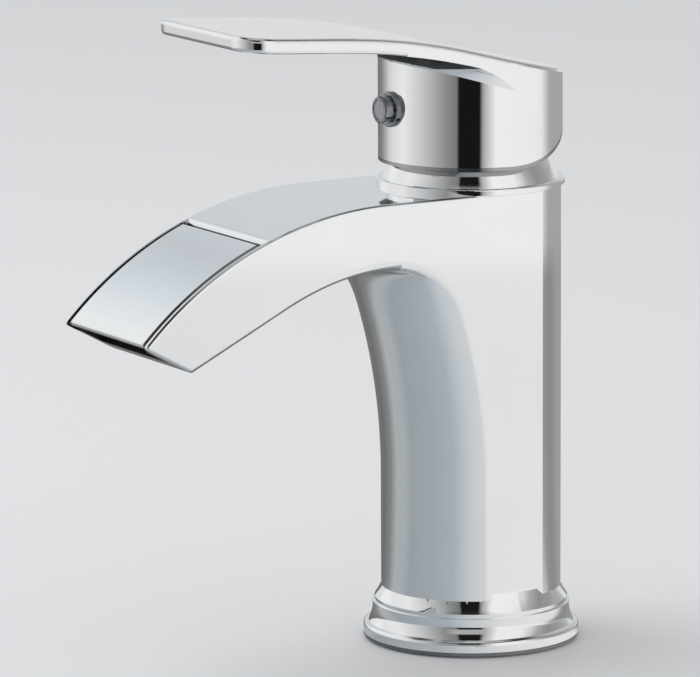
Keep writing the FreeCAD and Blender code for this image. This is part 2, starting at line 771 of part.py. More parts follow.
def moving_disc():
    bottom = disc_face_z + disc_running_gap
    disc = post(moving_disc_radius, bottom, bottom + disc_thickness, y=disc_travel / 2)
    pocket = post(moving_disc_radius - 2.2, bottom - 1, bottom + disc_thickness / 2,
                  y=disc_travel / 2)
    behind = centred_box(3 * disc_radius, 3 * disc_radius, bottom - 2,
                         bottom + disc_thickness, y=1.5 * disc_radius + 0.2)
    holes = [post(carrier_peg_radius + 0.05, bottom + disc_thickness - 1.5,
                  bottom + disc_thickness + 1, x, disc_travel / 2) for x in carrier_peg_xs]
    return disc.cut([pocket.common(behind)] + holes)


def disc_carrier():
    bottom = disc_face_z + disc_running_gap + disc_thickness
    centre = disc_travel / 2
    plate = post(moving_disc_radius, bottom, bottom + carrier_plate, y=centre)
    block = centred_box(carrier_width, carrier_length, bottom, bottom + carrier_height, y=centre)
    pegs = [post(carrier_peg_radius, bottom - 1.3, bottom + 0.5, x, centre)
            for x in carrier_peg_xs]
    room = ball_radius + ball_clearance
    slot = centred_box(2 * room + 1.0, 2 * room, ball_z - room, bottom + carrier_height + 1)
    return plate.fuse([block] + pegs).cut(slot)


def rotor():
    bottom = disc_face_z + disc_running_gap + disc_thickness + carrier_plate + rotor_floor_gap
    flange = post(rotor_radius, bottom, rotor_step_z)
    neck = post(rotor_neck_radius, rotor_step_z - 1, neck_top_z - 0.2)
    carrier_top_z = disc_face_z + disc_running_gap + disc_thickness + carrier_height
    pocket = centred_box(carrier_width + 2 * carrier_clearance,
                         carrier_length + disc_travel + 2 * carrier_clearance,
                         bottom - 1, carrier_top_z + 0.6)
    swing = centred_box(spindle_size + 0.5, swing_length, carrier_top_z, neck_top_z + 1)
    pin_hole = rod(pivot_pin_radius + pin_clearance, V(-pin_length / 2 - 0.1, 0, pivot_z),
                   SIDEWAYS, pin_length + 0.2)
    return flange.fuse(neck).cut([pocket, swing, pin_hole])


def pivot_pin():
    return rod(pivot_pin_radius, V(-pin_length / 2, 0, pivot_z), SIDEWAYS, pin_length)


def cartridge_housing():
    inner = cartridge_radius - housing_wall
    bore = neck_radius - neck_wall
    shell = post(cartridge_radius, base_top_z, housing_shoulder_z)
    neck = post(neck_radius, housing_shoulder_z - 1, neck_top_z)
    return shell.fuse(neck).cut([
        post(inner, base_top_z - 1, rotor_step_z + rotor_clearance),
        post(bore, rotor_step_z - 1, neck_top_z + 1)])


def cartridge_nut():
    foot_z = housing_shoulder_z + 0.05
    flange_z = body_top_z + nut_clearance
    shape = (post(nut_thread_radius - nut_clearance, foot_z, flange_z + 0.5)
             .fuse([post(nut_flange_radius, flange_z, nut_flange_top_z),
                    hexagon(nut_hex_flats, nut_flange_top_z - 0.5,
                            nut_flange_top_z + nut_hex_height)]))
    groove_radius = bonnet_bore_radius - bonnet_seal_wire - 0.1
    groove = tube(nut_flange_radius + 1, groove_radius, bonnet_seal_z - bonnet_seal_wire / 2 - 0.1,
                  bonnet_seal_z + bonnet_seal_wire / 2 + 0.1)
    return shape.cut([groove, post(nut_bore_radius, foot_z - 1, neck_top_z + 20)])


def bonnet_seal():
    return wire_ring(bonnet_bore_radius - bonnet_seal_wire / 2 - 0.05, bonnet_seal_wire,
                     bonnet_seal_z)


def bonnet():
    outer = bonnet_dome_radius
    lip_top = body_top_z + bonnet_lip_height
    reach = 1.5 * bonnet_dome_radius
    dome = (Part.makeSphere(outer, V(0, 0, pivot_z))
            .common(post(reach, body_top_z, pivot_z + reach)))
    lip = post(bonnet_lip_radius, body_top_z, lip_top)
    rim = [edge for edge in lip.Edges if edge.BoundBox.ZMin > lip_top - 0.01]
    lip = lip.makeFillet(0.5, rim)
    hollow = (Part.makeSphere(bonnet_inner_radius, V(0, 0, pivot_z))
              .common(post(bonnet_bore_radius, body_top_z - 1, pivot_z + reach)))
    return dome.fuse(lip).cut([hollow, post(bonnet_opening_radius, body_top_z, pivot_z + reach)])


# ---- spindle, handle and what sits on it ----------------------------------------
def spindle():
    low = pivot_z - 3.5
    stem = centred_box(spindle_size, spindle_size, low, spindle_top_z)
    arm = post(spindle_arm_radius, ball_z, low + 0.5)
    ball = Part.makeSphere(ball_radius, V(0, 0, ball_z))
    hole = rod(pivot_pin_radius + pin_clearance, V(-spindle_size, 0, pivot_z), SIDEWAYS,
               2 * spindle_size)
    return stem.fuse([arm, ball]).cut(hole)


def lever_top(lower=0.0):
    """Top line of handle and lever from back to tip, lowered by this much."""
    slope = (lever_cap_z - handle_back_z) / handle_radius
    past = 1.5 * handle_radius
    curve = Part.BSplineCurve()
    curve.interpolate([
        yz(past, lever_cap_z - slope * past - lower),
        yz(handle_radius, handle_back_z - lower),
        yz(0, lever_cap_z - lower),
        yz(lever_root_y, lever_root_z - lower),
        yz(lever_mid_y, lever_mid_z - lower),
        yz(lever_blade_y, lever_blade_z - lower),
        yz(-lever_reach - 1, lever_tip_z - lower),
    ])
    return curve.toShape()


def below_top(lower, bottom):
    """Everything under the lever's top line, down to this height."""
    top = lever_top(lower)
    back, tip = top.Vertexes[0].Point, top.Vertexes[-1].Point
    side = yz_face([top, line(tip, yz(tip.y, bottom)), line(yz(tip.y, bottom), yz(back.y, bottom)),
                    line(yz(back.y, bottom), back)])
    return extrude_across(side, 2 * handle_radius)


def lever_plate():
    top, low = lever_top(), lever_top(lever_thickness)
    side = yz_face([top, line(top.Vertexes[-1].Point, low.Vertexes[-1].Point), low,
                    line(low.Vertexes[0].Point, top.Vertexes[0].Point)])
    return extrude_across(side, 2 * handle_radius)


def lever_outline():
    """Plan of the front half: as wide as the cap, a little wider at the tip."""
    tip = handle_radius + lever_flare
    corners = [V(-handle_radius, 0, 0), V(-tip, -lever_reach, 0), V(tip, -lever_reach, 0),
               V(handle_radius, 0, 0)]
    plan = Part.Face(Part.makePolygon(corners + corners[:1]))
    block = plan.extrude(V(0, 0, 2 * lever_tip_z))
    uprights = [edge for edge in block.Edges
                if edge.BoundBox.ZLength > lever_tip_z and edge.BoundBox.YMax < -lever_reach + 1]
    return block.makeFillet(lever_corner_round, uprights)


def handle_outside():
    column = post(handle_radius, handle_gap_z, 2 * lever_tip_z)
    whole = column.common(below_top(lever_thickness / 2, handle_gap_z - 1)).fuse(lever_plate())
    join = [edge for edge in whole.Edges
            if edge.BoundBox.XLength > handle_radius and edge.BoundBox.ZMin > handle_gap_z + 1
            and all(abs(math.hypot(p.x, p.y) - handle_radius) < 0.02
                    for p in edge.discretize(9))]
    front = whole.makeFillet(lever_cove, join).common(lever_outline())
    back = Part.makeCylinder(handle_radius, 2 * lever_tip_z, V(0, 0, handle_gap_z), UP, 180)
    return front.fuse(back.common(below_top(0, handle_gap_z - 1))).removeSplitter()


def blade_low_radii(edge):
    """Rounding of the blade's lower edges: it fades to almost nothing towards the cap."""
    low = lever_top(lever_thickness)
    ahead = edge.BoundBox.YMin < lever_low_fade_y - 1
    if not ahead or any(low.distToShape(Part.Vertex(0, p.y, p.z))[0] > 0.01
                        for p in edge.discretize(5)):
        return 0, 0
    ends = (edge.Vertexes[-1].Point, edge.Vertexes[0].Point)
    return tuple(lever_low_round if p.y < lever_low_fade_y - 1 else 0.1 for p in ends)


def with_rounded_blade(shape):
    size = 3 * lever_reach
    ahead = Part.makeBox(size, size, size, V(-size / 2, lever_low_fade_y - size, 0))
    blade = rounded(shape.common(ahead), blade_low_radii)
    return blade.fuse(shape.cut(ahead)).removeSplitter()


def skirt_relief():
    """The lower edge of the cap rises towards the back, so that it can tilt."""
    start = yz(-skirt_rise_start, handle_gap_z)
    run = handle_radius + skirt_rise_start + 1
    rise = skirt_rise_radius - math.sqrt(skirt_rise_radius ** 2 - run ** 2)
    half_rise = skirt_rise_radius - math.sqrt(skirt_rise_radius ** 2 - (run / 2) ** 2)
    end = start + V(0, run, rise)
    low = handle_gap_z - 5
    return extrude_across(yz_face([
        arc(start, start + V(0, run / 2, half_rise), end),
        line(end, yz(end.y, low)), line(yz(end.y, low), yz(start.y, low)),
        line(yz(start.y, low), start)]), 2 * handle_radius)


def handle():
    shape = with_rounded_blade(handle_outside())
    shape = rounded(shape, lambda edge: (lever_edge_round * is_on_top(edge),) * 2)
    cavity = (post(handle_radius - handle_wall, handle_gap_z - 1, 2 * lever_tip_z)
              .common(below_top(handle_roof, handle_gap_z - 2))
              .cut(post(boss_radius, boss_bottom_z, 2 * lever_tip_z)))
    side = spindle_size + 2 * socket_clearance
    socket = centred_box(side, side, boss_bottom_z - 1, spindle_top_z + 0.3)
    screw_hole = rod(screw_radius + stud_thread_clearance, V(0, 0, screw_z), FORWARD,
                     boss_radius + 1)
    button_hole = rod(button_hole_radius, V(0, -boss_radius - 2, screw_z), FORWARD,
                      handle_radius)
    return shape.cut([skirt_relief(), cavity, socket, screw_hole, button_hole])


def is_on_top(edge):
    """True for the outer edges of the top face."""
    top = below_top(0, handle_gap_z)
    ends = edge.discretize(7)
    if edge.BoundBox.ZMax < handle_back_z - 1:
        return False
    return all(top.distToShape(Part.Vertex(p))[0] < 0.01
               and top.isInside(p - V(0, 0, 0.2), 0.001, True)
               and not top.isInside(p + V(0, 0, 0.2), 0.001, True) for p in ends)


def grub_screw():
    start = V(0, -spindle_size / 2 - 0.03, screw_z)
    screw = rod(screw_radius, start, FORWARD, screw_length)
    across = 2.5 / math.sqrt(3)
    turns = [math.radians(60 * k) for k in range(7)]
    ring = [V(across * math.cos(t), start.y - screw_length - 1, screw_z + across * math.sin(t))
            for t in turns]
    key = Part.Face(Part.makePolygon(ring)).extrude(V(0, 3.0, 0))
    return screw.cut(key)


def index_button():
    face = V(0, -handle_radius, screw_z)
    rim = rod(button_rim_radius, face + V(0, 0.8, 0), FORWARD, button_rim_height + 0.8)
    plug = rod(button_radius, face, FORWARD, button_height)
    front = [edge for edge in plug.Edges if edge.BoundBox.YMax < face.y - button_height + 0.01]
    plug = plug.makeFillet(button_round, front)
    rim_front = [edge for edge in rim.Edges
                 if edge.BoundBox.YMax < face.y - button_rim_height + 0.01]
    rim = rim.makeFillet(0.4, rim_front)
    outside = rim.fuse(plug).cut(post(handle_radius + 0.03, 0, 2 * screw_z))
    stem = rod(button_hole_radius - button_stem_clearance, face + V(0, button_stem_length, 0),
               FORWARD, button_stem_length + 1)
    dish = rod(index_radius + 0.05, face + V(0, -button_height + index_depth, 0), FORWARD,
               index_depth + 1)
    return outside.fuse(stem).cut(dish)


def index_disc():
    back = V(0, -handle_radius - button_height + index_depth - 0.02, screw_z)
    return rod(index_radius, back, FORWARD, index_depth - 0.2)


pieces = {
    "body": body,
    "spout_cover": spout_cover,
    "cover_gasket": cover_gasket,
    "flow_spreader": flow_spreader,
    "base_ring": base_ring,
    "base_seal": base_seal,
    "mounting_stud": mounting_stud,
    "rubber_washer": rubber_washer,
    "steel_washer": steel_washer,
    "fixing_nut": fixing_nut,
    "cartridge_base": cartridge_base,
    "inlet_seals": inlet_seals,
    "side_seal": side_seal,
    "disc_seals": disc_seals,
    "fixed_disc": fixed_disc,
    "moving_disc": moving_disc,
    "disc_carrier": disc_carrier,
    "rotor": rotor,
    "pivot_pin": pivot_pin,
    "cartridge_housing": cartridge_housing,
    "cartridge_nut": cartridge_nut,
    "bonnet_seal": bonnet_seal,
    "bonnet": bonnet,
    "spindle": spindle,
    "handle": handle,
    "grub_screw": grub_screw,
    "index_button": index_button,
    "index_disc": index_disc,
}

os.makedirs("parts", exist_ok=True)
for name, make in pieces.items():
    shape = make()
    shape.exportStep("parts/" + name + ".step")
    print(f"{name}: {len(shape.Solids)} solid(s), {shape.Volume:.0f} mm3, valid {shape.isValid()}")
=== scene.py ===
import math

import bpy
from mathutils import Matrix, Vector

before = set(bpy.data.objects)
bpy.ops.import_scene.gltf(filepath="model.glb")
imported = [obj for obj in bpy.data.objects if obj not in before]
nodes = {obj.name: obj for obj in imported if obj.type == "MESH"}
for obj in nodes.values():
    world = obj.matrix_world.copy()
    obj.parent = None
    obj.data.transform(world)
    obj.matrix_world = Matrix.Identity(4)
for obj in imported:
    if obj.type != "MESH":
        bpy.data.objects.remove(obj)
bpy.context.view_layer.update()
print("stage 1: frame loaded,", len(nodes), "CAD nodes")

# camera: fitted to the photograph, which is 700 x 677 pixels
cameraSettings = {
    "azimuth": 58.5,        # degrees round the column, 0 looks along +Y
    "distance": 1.6385,     # metres from the column's axis, level
    "height": 0.3826,       # metres over the deck
    "yaw": 1.12,            # degrees that the view turns off the axis
    "pitch": 10.44,         # degrees down
    "roll": -0.27,
    "focalPixels": 6266.0,
    "imageWidth": 700.0,    # pixels
    "sensorWidth": 36.0,
    "clip": (0.05, 20.0),   # metres
}


def makeCamera():
    s = cameraSettings
    around = math.radians(s["azimuth"])
    turn = math.radians(s["azimuth"] + s["yaw"])
    pitch, roll = math.radians(s["pitch"]), math.radians(s["roll"])
    forward = Vector((-math.sin(turn) * math.cos(pitch), math.cos(turn) * math.cos(pitch),
                      -math.sin(pitch)))
    right = Vector((math.cos(turn), math.sin(turn), 0))
    up = right.cross(forward)
    rolledRight = right * math.cos(roll) + up * math.sin(roll)
    rolledUp = rolledRight.cross(forward)
    data = bpy.data.cameras.new("photoCamera")
    camera = bpy.data.objects.new("photoCamera", data)
    bpy.context.scene.collection.objects.link(camera)
    camera.location = (s["distance"] * math.sin(around), -s["distance"] * math.cos(around),
                       s["height"])
    rotation = camera.matrix_world.to_3x3()
    for row in range(3):
        rotation[row][0], rotation[row][1], rotation[row][2] = (
            rolledRight[row], rolledUp[row], -forward[row])
    camera.rotation_mode = "QUATERNION"
    camera.rotation_quaternion = rotation.to_quaternion()
    data.sensor_fit = "HORIZONTAL"
    data.sensor_width = s["sensorWidth"]
    data.lens = s["focalPixels"] * s["sensorWidth"] / s["imageWidth"]
    data.clip_start, data.clip_end = s["clip"]
    bpy.context.scene.camera = camera


makeCamera()
print("stage 2: camera")


# small helpers for node trees: a value is a socket or a number
def joined(tree, node, socket, value):
    if isinstance(value, bpy.types.NodeSocket):
        tree.links.new(value, node.inputs[socket])
    else:
        node.inputs[socket].default_value = value


def calculated(tree, operation, first, second=0.0):
    node = tree.nodes.new("ShaderNodeMath")
    node.operation = operation
    joined(tree, node, 0, first)
    if operation not in ("ABSOLUTE", "SQRT"):
        joined(tree, node, 1, second)
    return node.outputs["Value"]


def smoothStep(tree, value, low, high):
    node = tree.nodes.new("ShaderNodeMapRange")
    node.interpolation_type = "SMOOTHSTEP"
    joined(tree, node, "Value", value)
    node.inputs["From Min"].default_value = low
    node.inputs["From Max"].default_value = high
    return node.outputs["Result"]


def lengthOf(tree, *parts):
    total = calculated(tree, "MULTIPLY", parts[0], parts[0])
    for part in parts[1:]:
        total = calculated(tree, "ADD", total, calculated(tree, "MULTIPLY", part, part))
    return calculated(tree, "SQRT", total)


def isUnder(tree, value, limit):
    return calculated(tree, "LESS_THAN", value, limit)


def isOver(tree, value, limit):
    return calculated(tree, "GREATER_THAN", value, limit)


def allOf(tree, *flags):
    total = flags[0]
    for flag in flags[1:]:
        total = calculated(tree, "MULTIPLY", total, flag)
    return total


def anyOf(tree, *flags):
    total = flags[0]
    for flag in flags[1:]:
        total = calculated(tree, "MAXIMUM", total, flag)
    return total


def mixedColor(tree, share, first, second):
    node = tree.nodes.new("ShaderNodeMix")
    node.data_type = "RGBA"
    joined(tree, node, "Factor", share)
    joined(tree, node, "A", first)
    joined(tree, node, "B", second)
    return node.outputs["Result"]


def newMaterial(name):
    material = bpy.data.materials.new(name)
    material.use_nodes = True
    tree = material.node_tree
    return material, tree, tree.nodes["Principled BSDF"]


# The studio. What polished faces see is set by the angle round the column from the
# camera's side, in degrees, positive to the right: (angle, grey level, coolness). The levels
# were tuned to one picture, and stay where they are when the camera moves.
floorSeen = [(-180, 0.20, 0), (-150, 0.17, 0), (-138, 0.16, 0), (-118, 0.24, 0),
             (-104, 0.44, 0.5), (-88, 0.43, 0.8), (-76, 0.37, 1), (-48, 0.40, 1),
             (-20, 0.45, 1), (-3, 0.59, 0.8), (15, 0.67, 0), (35, 0.76, 0), (63, 0.80, 0),
             (92, 0.76, 0), (106, 0.30, 0), (118, 0.26, 0), (147, 0.36, 0), (180, 0.24, 0)]
lowWallSeen = [(-180, 0.20, 0), (-158, 0.19, 0), (-144, 0.24, 0), (-130, 0.46, 0),
               (-122, 0.64, 0), (-112, 0.74, 0), (-92, 0.84, 0), (-62, 0.58, 0),
               (-30, 0.27, 0), (-17, 0.20, 0), (-14.5, 0.008, 0), (11.5, 0.008, 0),
               (16, 0.40, 0), (32, 0.90, 0), (90, 0.86, 0), (99, 0.82, 0), (104, 0.71, 0),
               (112, 0.49, 0), (118, 0.39, 0), (128, 0.37, 0), (150, 0.38, 0), (180, 0.34, 0)]
midWallSeen = [(-180, 0.735, 0), (-150, 0.735, 0), (-135, 0.82, 0), (-92, 0.84, 0),
               (-62, 0.58, 0), (-30, 0.27, 0), (-17, 0.20, 0), (-14.5, 0.008, 0),
               (11.5, 0.008, 0), (16, 0.40, 0), (32, 0.90, 0), (90, 0.84, 0),
               (104, 0.46, 0), (116, 0.37, 0), (135, 0.45, 0), (150, 0.735, 0),
               (180, 0.735, 0)]
topWallSeen = [(-180, 0.66, 0.6), (-166, 0.66, 0.6), (-158, 0.59, 0.6), (-152, 0.65, 0.6),
               (-145, 0.76, 0.6), (-138, 0.86, 0), (-128, 0.88, 0), (-115, 0.80, 0),
               (-92, 0.84, 0), (-62, 0.58, 0), (-30, 0.27, 0), (-17, 0.20, 0),
               (-14.5, 0.008, 0), (11.5, 0.008, 0), (16, 0.40, 0), (32, 0.90, 0),
               (64, 0.86, 0), (74, 0.68, 0), (84, 0.42, 0), (100, 0.28, 0), (116, 0.32, 0),
               (150, 0.50, 0), (180, 0.66, 0.6)]
coolTint = (0.90, 0.985, 1.05)
stageSettings = {
    "floorColor": (0.80, 0.805, 0.815),
    "floorShade": 0.985,       # the darker grains, as a share of the floor's colour
    "floorGrain": 220.0,
    "floorDetail": 3.0,
    "floorRoughness": 0.5,
    "floorSpecular": 0.2,
    "floorReach": 6.0,         # metres, half the side of the floor
    "mirrorReach": 0.62,       # polished faces see the floor this far from the column
    "mirrorFade": 0.05,
    "daylight": 0.90,
    "ceiling": 0.03,
    "overhead": 0.50,          # a grey patch straight above
    "stripGrey": 0.42,         # the dark strip in front is this grey at the high ring
    "stripSide": 20,           # degrees
    # each ring gives way to the next between these heights (sine of the elevation)
    "blends": {"middle": (-0.134, -0.121), "high": (0.09, 0.14), "top": (0.40, 0.46),
               "ceiling": (0.74, 0.86), "overhead": (0.90, 0.96)},
}
# the lever's top mirrors this ring from behind, and would be black with the strip
highWallSeen = [(angle, max(level, stageSettings["stripGrey"]), cool)
                if abs(angle) < stageSettings["stripSide"] else (angle, level, cool)
                for angle, level, cool in topWallSeen]


def angleRound(tree, place):
    turn = tree.nodes.new("ShaderNodeVectorRotate")
    turn.rotation_type = "Z_AXIS"
    turn.inputs["Angle"].default_value = -math.radians(cameraSettings["azimuth"])
    tree.links.new(place, turn.inputs["Vector"])
    split = tree.nodes.new("ShaderNodeSeparateXYZ")
    tree.links.new(turn.outputs["Vector"], split.inputs["Vector"])
    back = calculated(tree, "MULTIPLY", split.outputs["Y"], -1.0)
    angle = calculated(tree, "ARCTAN2", split.outputs["X"], back)
    share = tree.nodes.new("ShaderNodeMapRange")
    share.inputs["From Min"].default_value = -math.pi
    share.inputs["From Max"].default_value = math.pi
    tree.links.new(angle, share.inputs["Value"])
    return share.outputs["Result"]


def levelsRound(tree, share, levels):
    ramp = tree.nodes.new("ShaderNodeValToRGB")
    stops = ramp.color_ramp.elements
    stops.remove(stops[-1])
    for k, (angle, level, cool) in enumerate(levels):
        stop = stops[0] if k == 0 else stops.new((angle + 180) / 360)
        stop.position = (angle + 180) / 360
        stop.color = (*(level * (1 + cool * (c - 1)) for c in coolTint), 1)
    tree.links.new(share, ramp.inputs["Fac"])
    return ramp.outputs["Color"]


def makeFloor():
    s = stageSettings
    bpy.ops.object.select_all(action="DESELECT")
    bpy.ops.mesh.primitive_plane_add(size=2 * s["floorReach"], location=(0, 0, 0))
    floor = bpy.context.object
    floor.name = "floor"
    material, tree, shader = newMaterial("paleStone")
    place = tree.nodes.new("ShaderNodeTexCoord").outputs["Object"]
    grain = tree.nodes.new("ShaderNodeTexNoise")
    grain.inputs["Scale"].default_value = s["floorGrain"]
    grain.inputs["Detail"].default_value = s["floorDetail"]
    tree.links.new(place, grain.inputs["Vector"])
    color = (*s["floorColor"], 1)
    darker = (*(s["floorShade"] * c for c in s["floorColor"]), 1)
    joined(tree, shader, "Base Color", mixedColor(tree, grain.outputs["Fac"], color, darker))
    shader.inputs["Roughness"].default_value = s["floorRoughness"]
    shader.inputs["Specular IOR Level"].default_value = s["floorSpecular"]
    rays = tree.nodes.new("ShaderNodeLightPath").outputs["Is Glossy Ray"]
    split = tree.nodes.new("ShaderNodeSeparateXYZ")
    tree.links.new(place, split.inputs["Vector"])
    distance = lengthOf(tree, split.outputs["X"], split.outputs["Y"])
    beyond = smoothStep(tree, distance, s["mirrorReach"] - s["mirrorFade"],
                        s["mirrorReach"] + s["mirrorFade"])
    mirrored = tree.nodes.new("ShaderNodeEmission")
    joined(tree, mirrored, "Color", levelsRound(tree, angleRound(tree, place), floorSeen))
    through = tree.nodes.new("ShaderNodeBsdfTransparent")
    reach = tree.nodes.new("ShaderNodeMixShader")
    tree.links.new(beyond, reach.inputs["Fac"])
    tree.links.new(mirrored.outputs["Emission"], reach.inputs[1])
    tree.links.new(through.outputs["BSDF"], reach.inputs[2])
    mix = tree.nodes.new("ShaderNodeMixShader")
    tree.links.new(rays, mix.inputs["Fac"])
    tree.links.new(shader.outputs["BSDF"], mix.inputs[1])
    tree.links.new(reach.outputs["Shader"], mix.inputs[2])
    tree.links.new(mix.outputs["Shader"], tree.nodes["Material Output"].inputs["Surface"])
    floor.data.materials.append(material)


def makeWorld():
    s = stageSettings
    world = bpy.data.worlds.new("studio")
    bpy.context.scene.world = world
    world.use_nodes = True
    tree = world.node_tree
    plain = tree.nodes["Background"]
    plain.inputs["Color"].default_value = (*s["floorColor"], 1)
    plain.inputs["Strength"].default_value = s["daylight"]
    place = tree.nodes.new("ShaderNodeTexCoord").outputs["Generated"]
    split = tree.nodes.new("ShaderNodeSeparateXYZ")
    tree.links.new(place, split.inputs["Vector"])
    share = angleRound(tree, place)
    rings = {"middle": levelsRound(tree, share, midWallSeen),
             "high": levelsRound(tree, share, highWallSeen),
             "top": levelsRound(tree, share, topWallSeen),
             "ceiling": (*(s["ceiling"],) * 3, 1), "overhead": (*(s["overhead"],) * 3, 1)}
    seen = levelsRound(tree, share, lowWallSeen)
    for name, (first, last) in s["blends"].items():
        step = smoothStep(tree, split.outputs["Z"], first, last)
        seen = mixedColor(tree, step, seen, rings[name])
    room = tree.nodes.new("ShaderNodeBackground")
    tree.links.new(seen, room.inputs["Color"])
    rays = tree.nodes.new("ShaderNodeLightPath").outputs["Is Glossy Ray"]
    mix = tree.nodes.new("ShaderNodeMixShader")
    tree.links.new(rays, mix.inputs["Fac"])
    tree.links.new(plain.outputs["Background"], mix.inputs[1])
    tree.links.new(room.outputs["Background"], mix.inputs[2])
    tree.links.new(mix.outputs["Shader"], tree.nodes["World Output"].inputs["Surface"])


lampSettings = {
    "softLight": {"place": (-0.5, -0.6, 1.5), "aim": (0, -0.04, 0.08), "size": 1.1,
                  "watts": 9.0},
}


def makeLamps():
    for name, s in lampSettings.items():
        data = bpy.data.lights.new(name, "AREA")
        data.size = s["size"]
        data.energy = s["watts"]
        lamp = bpy.data.objects.new(name, data)
        bpy.context.scene.collection.objects.link(lamp)
        lamp.location = s["place"]
        towards = Vector(s["aim"]) - Vector(s["place"])
        lamp.rotation_euler = towards.to_track_quat("-Z", "Y").to_euler()
        lamp.visible_glossy = False


makeFloor()
makeWorld()
makeLamps()
print("stage 3: floor, world and lamps")


# A finish: its colour drifts between two shades, its roughness between two values and
# its surface has fine bumps. The sizes of drift and bumps are in metres.
finishSettings = {"driftDetail": 4.0, "grainDetail": 2.0, "driftEdges": (0.35, 0.65),
                  "skinDepth": 0.001}


def finish(tree, shader, s):
    place = tree.nodes.new("ShaderNodeTexCoord").outputs["Object"]
    stretch = tree.nodes.new("ShaderNodeMapping")
    stretch.inputs["Scale"].default_value = s.get("stretch", (1.0, 1.0, 1.0))
    tree.links.new(place, stretch.inputs["Vector"])
    drift = tree.nodes.new("ShaderNodeTexNoise")
    drift.inputs["Scale"].default_value = 1.0 / s["drift"]
    drift.inputs["Detail"].default_value = finishSettings["driftDetail"]
    tree.links.new(stretch.outputs["Vector"], drift.inputs["Vector"])
    strong = smoothStep(tree, drift.outputs["Fac"], *finishSettings["driftEdges"])
    joined(tree, shader, "Base Color",
           mixedColor(tree, strong, (*s["light"], 1), (*s["dark"], 1)))
    rough = tree.nodes.new("ShaderNodeMapRange")
    tree.links.new(drift.outputs["Fac"], rough.inputs["Value"])
    rough.inputs["To Min"].default_value, rough.inputs["To Max"].default_value = s["rough"]
    joined(tree, shader, "Roughness", rough.outputs["Result"])
    shader.inputs["Metallic"].default_value = s.get("metal", 0.0)
    grain = tree.nodes.new("ShaderNodeTexNoise")
    grain.inputs["Scale"].default_value = 1.0 / s["grain"]
    grain.inputs["Detail"].default_value = finishSettings["grainDetail"]
    tree.links.new(stretch.outputs["Vector"], grain.inputs["Vector"])
    bump = tree.nodes.new("ShaderNodeBump")
    bump.inputs["Strength"].default_value = s["bump"]
    bump.inputs["Distance"].default_value = s["bumpDepth"]
    tree.links.new(grain.outputs["Fac"], bump.inputs["Height"])
    tree.links.new(bump.outputs["Normal"], shader.inputs["Normal"])
    if s.get("underSkin"):
        shader.inputs["Subsurface Weight"].default_value = s["underSkin"]
        shader.inputs["Subsurface Scale"].default_value = finishSettings["skinDepth"]


def plainFinish(name, s):
    material, tree, shader = newMaterial(name)
    finish(tree, shader, s)
    return material


# a polished finish mixed by place with a darker one, which stands for raw metal in hollows and for
# painted shade on some outer edges
def partlyRawAndShaded(name, polished, rawMetalAndPaintedShade, rawAndShadePlaces):
    material, tree, shader = newMaterial(name)
    finish(tree, shader, polished)
    rawAndShadeShader = tree.nodes.new("ShaderNodeBsdfPrincipled")
    finish(tree, rawAndShadeShader, rawMetalAndPaintedShade)
    split = tree.nodes.new("ShaderNodeSeparateXYZ")
    place = tree.nodes.new("ShaderNodeTexCoord").outputs["Object"]
    tree.links.new(place, split.inputs["Vector"])
    mix = tree.nodes.new("ShaderNodeMixShader")
    share = rawAndShadePlaces(tree, *(split.outputs[axis] for axis in "XYZ"))
    tree.links.new(share, mix.inputs["Fac"])
    tree.links.new(shader.outputs["BSDF"], mix.inputs[1])
    tree.links.new(rawAndShadeShader.outputs["BSDF"], mix.inputs[2])
    tree.links.new(mix.outputs["Shader"], tree.nodes["Material Output"].inputs["Surface"])
    return material


finished = set()


def giveMaterial(material, name):
    finished.add(name)
    for materialSlot in nodes[name].material_slots:
        materialSlot.material = material


castBrass = {"light": (0.30, 0.24, 0.15), "dark": (0.20, 0.16, 0.10), "metal": 0.8,
             "rough": (0.45, 0.7), "drift": 0.006, "grain": 0.0006, "bump": 0.5,
             "bumpDepth": 0.0002}

# body and spout: chrome outside, dark raw metal in the foot, the bore and the channel.
# The side groove's walls and the dark line along the arch's lower edge are painted shade.
bodySettings = {
    "chrome": {"light": (0.94, 0.95, 0.955), "dark": (0.92, 0.93, 0.94), "metal": 1.0,
               "rough": (0.025, 0.06), "drift": 0.03, "grain": 0.004, "bump": 0.03,
               "bumpDepth": 0.00002},
    "rawMetalAndPaintedShade": dict(castBrass, light=(0.07, 0.065, 0.06), dark=(0.035, 0.033, 0.03)),
    "arcPlace": (-0.038, 0.023),      # centre of the spout's arc in side view
    "channel": (0.0176, 0.0895, 0.0973),         # half width, lower and upper radius
    "channelFrom": -0.044,
    "grooveAcross": (0.0205, 0.0213),
    "grooveRadii": (0.0965, 0.0994),
    "grooveFrom": -0.0745,
    "inside": 0.0202,
    "insideTop": 0.1229,
    "archEdge": (0.0208, 0.0793, 0.1326, 0.49),   # half width, radius, height and slope
    "archCentre": (-0.0343, 0.0275),
    "archStraight": -0.0686,
    "paintedShadeShare": 0.5,
}


def fromSpoutArc(tree, y, z):
    centreY, centreZ = bodySettings["arcPlace"]
    return lengthOf(tree, calculated(tree, "SUBTRACT", y, centreY),
                    calculated(tree, "SUBTRACT", z, centreZ))


